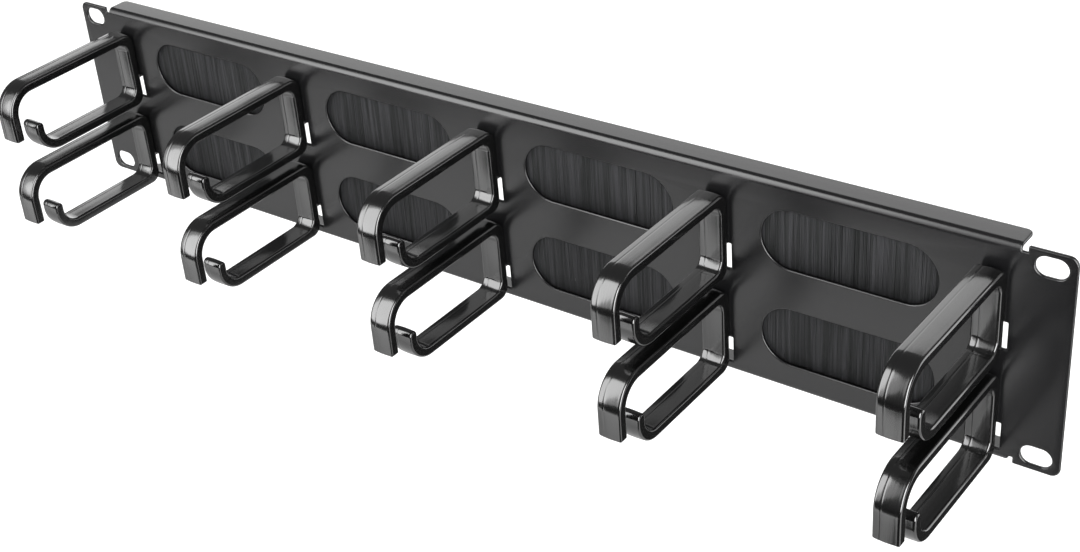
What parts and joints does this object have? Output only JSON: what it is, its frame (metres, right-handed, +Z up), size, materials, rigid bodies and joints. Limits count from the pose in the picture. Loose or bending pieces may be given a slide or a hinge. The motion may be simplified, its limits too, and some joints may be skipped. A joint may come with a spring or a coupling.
{
  "type": "horizontal cable manager",
  "caption": "Rack-mount horizontal cable manager: a folded sheet steel panel with rows of brush-closed cable openings and open moulded cable rings along its front.",
  "frame": {"origin": "centre of the four rack slots, on the back of the ears where they meet the rack rails", "axes": "+X along the panel's width, +Y back into the rack, +Z up; the rings point along -Y"},
  "size_m": [0.4826, 0.0856, 0.0882],
  "materials": {
    "powder_coated_steel": "black satin powder coat on sheet steel",
    "moulded_abs": "glossy black injection moulded plastic",
    "aluminium_channel": "mill finish aluminium channel",
    "nylon_bristle": "black nylon bristles",
    "zinc_plated_steel": "zinc plated steel"
  },
  "bodies": {
    "root": {"panel": "powder_coated_steel", "ring_1_upper": "moulded_abs", "ring_2_upper": "moulded_abs", "ring_3_upper": "moulded_abs", "ring_4_upper": "moulded_abs", "ring_5_upper": "moulded_abs", "ring_1_lower": "moulded_abs", "ring_2_lower": "moulded_abs", "ring_3_lower": "moulded_abs", "ring_4_lower": "moulded_abs", "ring_5_lower": "moulded_abs", "brush_holder_1_upper": "aluminium_channel", "brush_holder_2_upper": "aluminium_channel", "brush_holder_3_upper": "aluminium_channel", "brush_holder_4_upper": "aluminium_channel", "brush_holder_1_lower": "aluminium_channel", "brush_holder_2_lower": "aluminium_channel", "brush_holder_3_lower": "aluminium_channel", "brush_holder_4_lower": "aluminium_channel", "bristles_1_upper": "nylon_bristle", "bristles_2_upper": "nylon_bristle", "bristles_3_upper": "nylon_bristle", "bristles_4_upper": "nylon_bristle", "bristles_1_lower": "nylon_bristle", "bristles_2_lower": "nylon_bristle", "bristles_3_lower": "nylon_bristle", "bristles_4_lower": "nylon_bristle", "core_wires": "zinc_plated_steel", "weld_studs": "zinc_plated_steel", "stud_nuts": "zinc_plated_steel"}
  },
  "joints": []
}
